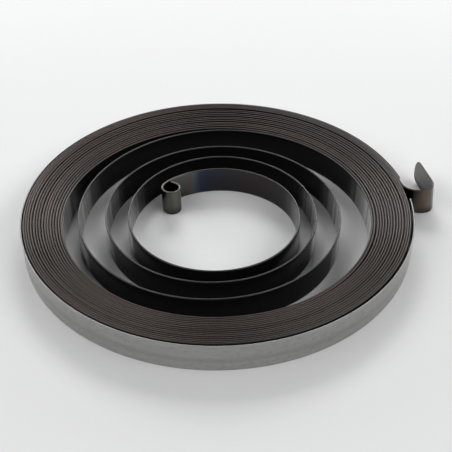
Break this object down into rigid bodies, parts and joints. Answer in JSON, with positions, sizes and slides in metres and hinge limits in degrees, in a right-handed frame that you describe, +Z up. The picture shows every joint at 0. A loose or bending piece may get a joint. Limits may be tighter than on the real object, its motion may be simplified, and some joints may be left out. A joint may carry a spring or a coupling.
{
  "type": "recoil starter spring",
  "caption": "Flat spiral spring of dark tempered steel strip with a curled eye inside and a bent hook at the rim, held wound by a thin open steel band, for a pull starter.",
  "frame": {"origin": "the coil's axis at the level of the underside", "axes": "+Z up along the coil's axis, +X towards the hook, +Y towards the back of the coil, where the turns stand apart"},
  "size_m": [0.0869, 0.081, 0.006],
  "materials": {
    "tempered_strip": "dark blued and tempered, satin, with bare brown-grey slit edges",
    "band_steel": "bright rolled, satin"
  },
  "bodies": {
    "root": {"spiral_spring": "tempered_strip", "retaining_band": "band_steel"}
  },
  "joints": []
}
